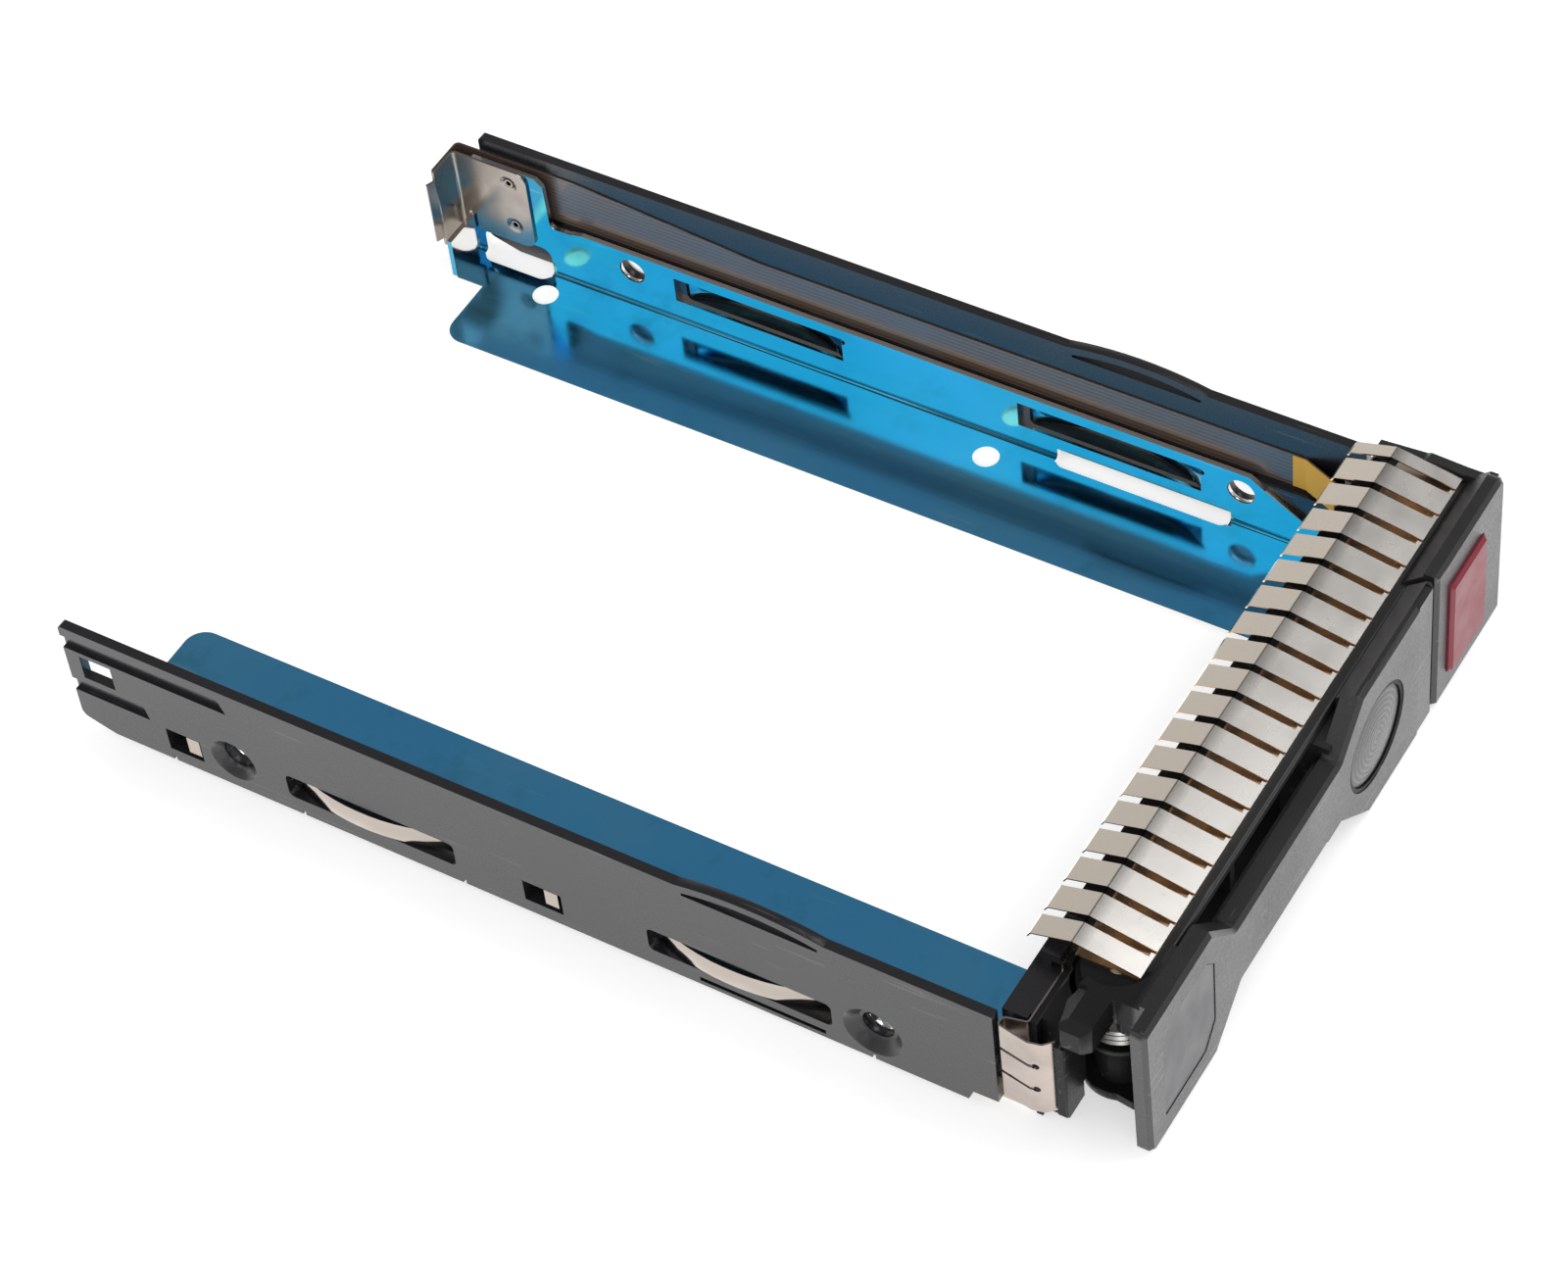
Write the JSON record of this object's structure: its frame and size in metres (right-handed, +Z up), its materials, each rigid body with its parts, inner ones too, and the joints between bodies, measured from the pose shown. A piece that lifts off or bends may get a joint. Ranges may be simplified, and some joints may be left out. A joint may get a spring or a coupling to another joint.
{
  "type": "hot swap drive caddy",
  "caption": "Open tray for a 3.5 inch server drive: side rails with folded steel brackets, a front bezel with a swinging eject lever, a release button and a row of grounding fingers.",
  "frame": {"origin": "bottom centre of the caddy's box, on the undersides of the two side brackets", "axes": "+X to the right when facing the front bezel, +Y from the bezel to the rear, +Z up"},
  "size_m": [0.11, 0.1724, 0.0272],
  "materials": {
    "black_plastic": "moulded, fine grain",
    "bracket_steel": "polished, blue protective film inside",
    "stainless": "satin",
    "spring_steel": "satin",
    "nickel_spring": "bright",
    "screw_steel": "satin",
    "gold_contact": "bright",
    "flex_film": "satin film",
    "amber_film": "gloss film",
    "maroon_plastic": "satin",
    "label_film": "satin",
    "smoked_plastic": "gloss",
    "clear_ring": "gloss",
    "green_board": "satin",
    "connector_plastic": "satin"
  },
  "bodies": {
    "caddy": {"left_rail": "black_plastic", "right_rail": "black_plastic", "left_bracket": "bracket_steel", "right_bracket": "bracket_steel", "contact_bracket": "stainless", "contact_rivets": "stainless", "contact_pads": "gold_contact", "flex_ribbon": "flex_film", "flex_stiffener": "amber_film", "cross_member": "black_plastic", "frame_screws": "screw_steel", "bracket_screws": "screw_steel", "emi_shield": "spring_steel", "emi_finger_strip": "nickel_spring", "front_frame": "black_plastic", "button_spring": "screw_steel", "latch_spring": "screw_steel", "lever_pivot_pin": "screw_steel", "lever_spring": "screw_steel", "light_board": "green_board", "board_lights": "clear_ring", "board_connector": "connector_plastic"},
    "lever": {"eject_lever": "black_plastic", "label_insert": "label_film", "status_window": "smoked_plastic", "ring_light": "clear_ring", "ring_disc": "black_plastic"},
    "button": {"release_button": "maroon_plastic"},
    "latch": {"release_latch": "black_plastic"}
  },
  "joints": [
    {"name": "lever_hinge", "type": "hinge", "parent": "caddy", "child": "lever", "pos_m": [-0.0408, -0.07587, 0.012], "axis": [0, 0, -1], "range_deg": [0, 35]},
    {"name": "button_press", "type": "slide", "parent": "caddy", "child": "button", "axis": [0, 1, 0], "range_m": [0, 0.0018], "stiffness_N_per_m": 400, "springref_m": -0.001, "deforming": ["button_spring"]},
    {"name": "latch_slide", "type": "slide", "parent": "caddy", "child": "latch", "axis": [1, 0, 0], "range_m": [0, 0.0018], "stiffness_N_per_m": 200, "springref_m": -0.001, "deforming": ["latch_spring"]}
  ],
  "couplings": [
    {"joint": "latch_slide", "follows": "button_press", "ratio": 1}
  ]
}
